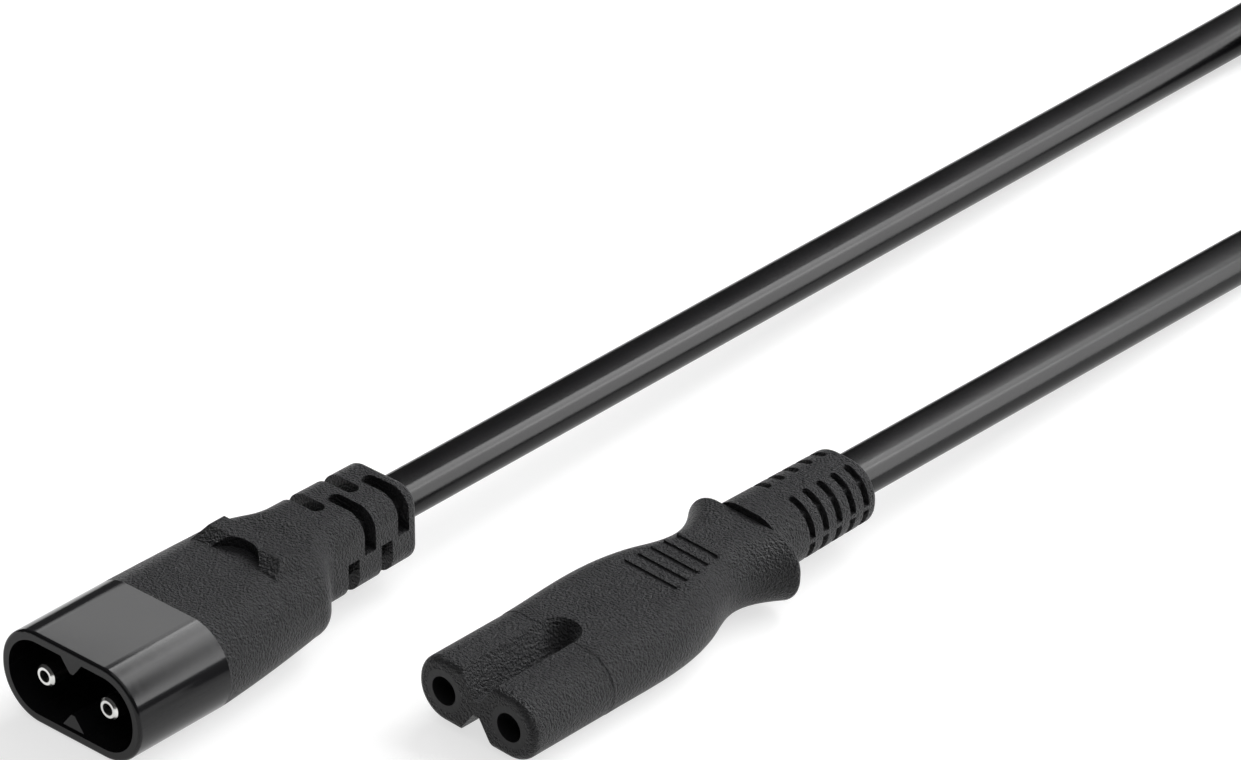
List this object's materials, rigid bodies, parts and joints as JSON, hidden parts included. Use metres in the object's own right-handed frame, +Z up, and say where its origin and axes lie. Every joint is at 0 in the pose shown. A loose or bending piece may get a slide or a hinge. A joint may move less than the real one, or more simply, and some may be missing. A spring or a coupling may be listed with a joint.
{
  "type": "figure eight power connector",
  "caption": "Black flat-cord extension lead with a shrouded figure-eight inlet, a figure-eight socket, moulded grips and slotted strain reliefs.",
  "frame": {"origin": "on the surface that the lead lies on, under the middle of the two connectors, the cord left out", "axes": "+X across the two connectors from the inlet to the socket, +Y from their mating faces towards the cord, +Z up"},
  "size_m": [0.0681, 0.2708, 0.0114],
  "materials": {
    "shroud_plastic": "smooth glossy black",
    "overmould": "fine grained black",
    "carrier_plastic": "smooth black",
    "contact_metal": "bright nickel plate",
    "copper": "bare copper strands",
    "core_brown": "brown insulation",
    "core_blue": "blue insulation",
    "cord_sheath": "satin black",
    "tie_strap": "dull black"
  },
  "bodies": {
    "root": {"inlet_shroud": "shroud_plastic", "inlet_pin_carrier": "carrier_plastic", "inlet_pin_left": "contact_metal", "inlet_pin_right": "contact_metal", "inlet_strands_left": "copper", "inlet_strands_right": "copper", "inlet_core_left": "core_brown", "inlet_core_right": "core_blue", "inlet_sheath_end": "cord_sheath", "inlet_overmould": "overmould", "socket_carrier": "carrier_plastic", "socket_contact_left": "contact_metal", "socket_contact_right": "contact_metal", "socket_strands_left": "copper", "socket_strands_right": "copper", "socket_core_left": "core_brown", "socket_core_right": "core_blue", "socket_sheath_end": "cord_sheath", "socket_overmould": "overmould", "cord_inlet_run": "cord_sheath", "cord_hank": "cord_sheath", "cord_socket_run": "cord_sheath", "hank_tie_left": "tie_strap", "hank_tie_right": "tie_strap"}
  },
  "joints": []
}
